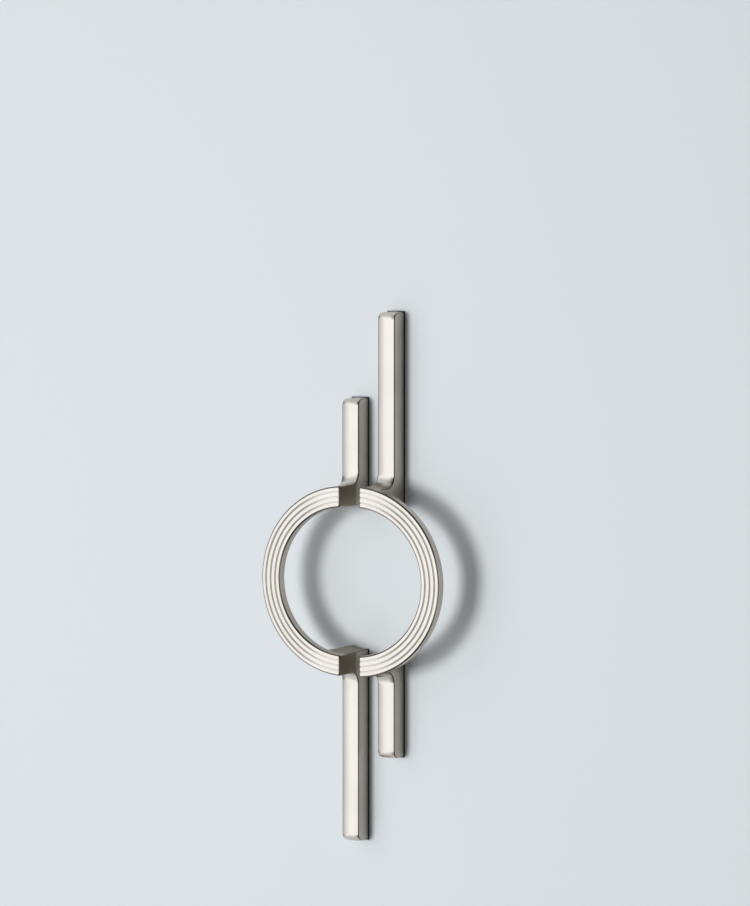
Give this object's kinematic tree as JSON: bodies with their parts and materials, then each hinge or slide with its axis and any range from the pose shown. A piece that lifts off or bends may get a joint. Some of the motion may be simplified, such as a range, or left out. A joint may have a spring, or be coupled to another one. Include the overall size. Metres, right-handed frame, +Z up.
{
  "type": "ring pull handle",
  "caption": "Split ring pull for a pair of cabinet doors: grooved half rings on posts, each running on into a long and a short flat bar, screwed from behind.",
  "frame": {"origin": "the ring's centre on the mounting plane, which is also the centre of the screw holes", "axes": "+X to the right, +Y into the mounting plane, +Z up; the castings stand out towards -Y"},
  "size_m": [0.1164, 0.034, 0.308],
  "materials": {
    "satin_nickel": "warm satin nickel plate"
  },
  "bodies": {
    "root": {"right_pull": "satin_nickel", "left_pull": "satin_nickel"}
  },
  "joints": []
}
